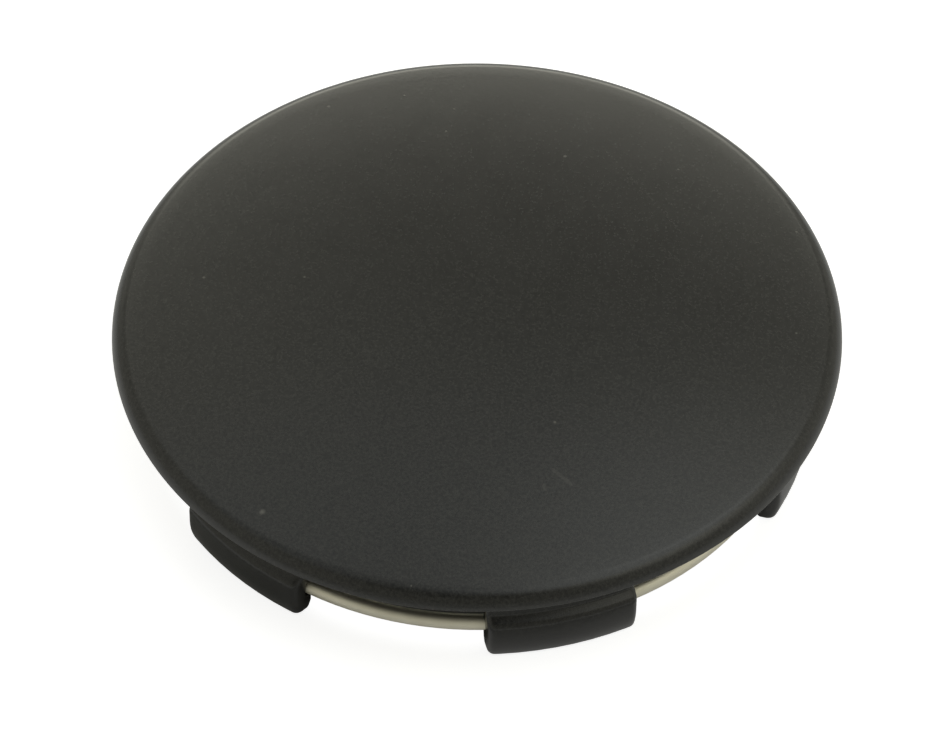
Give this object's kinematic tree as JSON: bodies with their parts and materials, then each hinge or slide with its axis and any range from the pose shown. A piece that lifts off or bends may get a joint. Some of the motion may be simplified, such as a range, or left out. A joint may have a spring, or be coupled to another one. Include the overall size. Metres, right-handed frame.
{
  "type": "wheel centre cap",
  "caption": "Shallow domed round cap with a plain face, held in a wheel's centre bore by barbed snap legs that a split wire ring pushes outward.",
  "frame": {"origin": "on the cap's axis, in the plane of the flange's underside that seats against the wheel", "axes": "+Z along the axis, out of the wheel towards whoever looks at it; +X through the middle of one leg; the wire ring's split is at +Y"},
  "size_m": [0.068, 0.068, 0.0141],
  "materials": {
    "cap": "satin black moulded plastic with a fine grain",
    "wire": "bare drawn spring wire"
  },
  "bodies": {
    "root": {"cap_body": "cap", "retaining_ring": "wire"}
  },
  "joints": []
}
